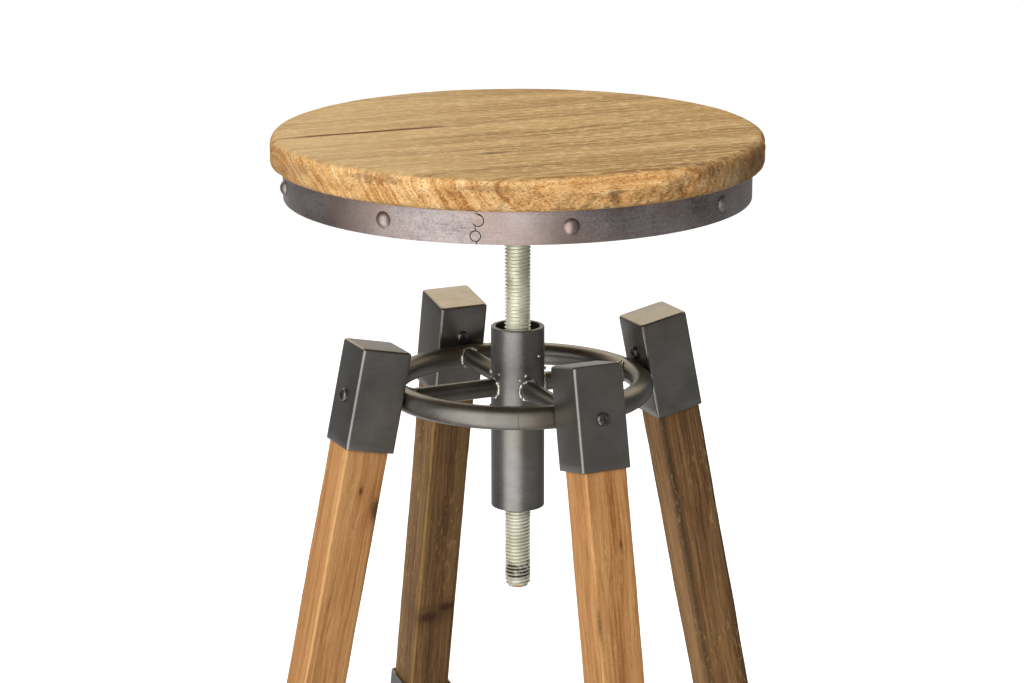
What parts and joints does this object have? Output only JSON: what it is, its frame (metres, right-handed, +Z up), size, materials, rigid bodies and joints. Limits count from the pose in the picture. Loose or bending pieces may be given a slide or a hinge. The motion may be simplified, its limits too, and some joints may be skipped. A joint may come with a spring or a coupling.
{
  "type": "adjustable swivel stool",
  "caption": "Round wooden screw stool: the seat turns on a threaded rod to rise or sink in a steel hub held between splayed square wooden legs with a ring footrest.",
  "frame": {"origin": "on the floor, under the axis of the threaded rod, in the middle of the object's box", "axes": "+Z up along the threaded rod; -Y is the front; the legs stand on the diagonals of X and Y"},
  "size_m": [0.3594, 0.3594, 0.715],
  "materials": {
    "seat_wood": "oiled, matte",
    "leg_wood": "oiled, satin",
    "blackened_steel": "lacquered, satin",
    "zinc_thread": "zinc plated",
    "bush_steel": "oiled, dull",
    "black_screws": "black oxide",
    "glide_plastic": "matte"
  },
  "bodies": {
    "base": {"hub_sleeve": "blackened_steel", "thread_bush_upper": "bush_steel", "thread_bush_lower": "bush_steel", "upper_ring": "blackened_steel", "footrest_ring": "blackened_steel", "cap_screws_outer": "black_screws", "cap_screws_inner": "black_screws", "footrest_screws": "black_screws", "glide_nails": "bush_steel", "spoke_front_left": "blackened_steel", "leg_cap_front_left": "blackened_steel", "leg_front_left": "leg_wood", "footrest_sleeve_front_left": "blackened_steel", "floor_glide_front_left": "glide_plastic", "spoke_front_right": "blackened_steel", "leg_cap_front_right": "blackened_steel", "leg_front_right": "leg_wood", "footrest_sleeve_front_right": "blackened_steel", "floor_glide_front_right": "glide_plastic", "spoke_back_left": "blackened_steel", "leg_cap_back_left": "blackened_steel", "leg_back_left": "leg_wood", "footrest_sleeve_back_left": "blackened_steel", "floor_glide_back_left": "glide_plastic", "spoke_back_right": "blackened_steel", "leg_cap_back_right": "blackened_steel", "leg_back_right": "leg_wood", "footrest_sleeve_back_right": "blackened_steel", "floor_glide_back_right": "glide_plastic"},
    "screw": {"threaded_rod": "zinc_thread"},
    "seat": {"seat_top": "seat_wood", "seat_band": "blackened_steel", "band_nails": "blackened_steel", "seat_plate": "blackened_steel", "seat_plate_screws": "black_screws"}
  },
  "joints": [
    {"name": "seat_lift", "type": "slide", "parent": "base", "child": "screw", "axis": [0, 0, 1], "range_m": [-0.08, 0.05]},
    {"name": "seat_turn", "type": "hinge", "parent": "screw", "child": "seat", "pos_m": [0, 0, 0.666], "axis": [0, 0, 1], "range_deg": [-11520, 7200]}
  ],
  "couplings": [
    {"joint": "seat_lift", "follows": "seat_turn", "m_per_rad": 0.00039789}
  ]
}
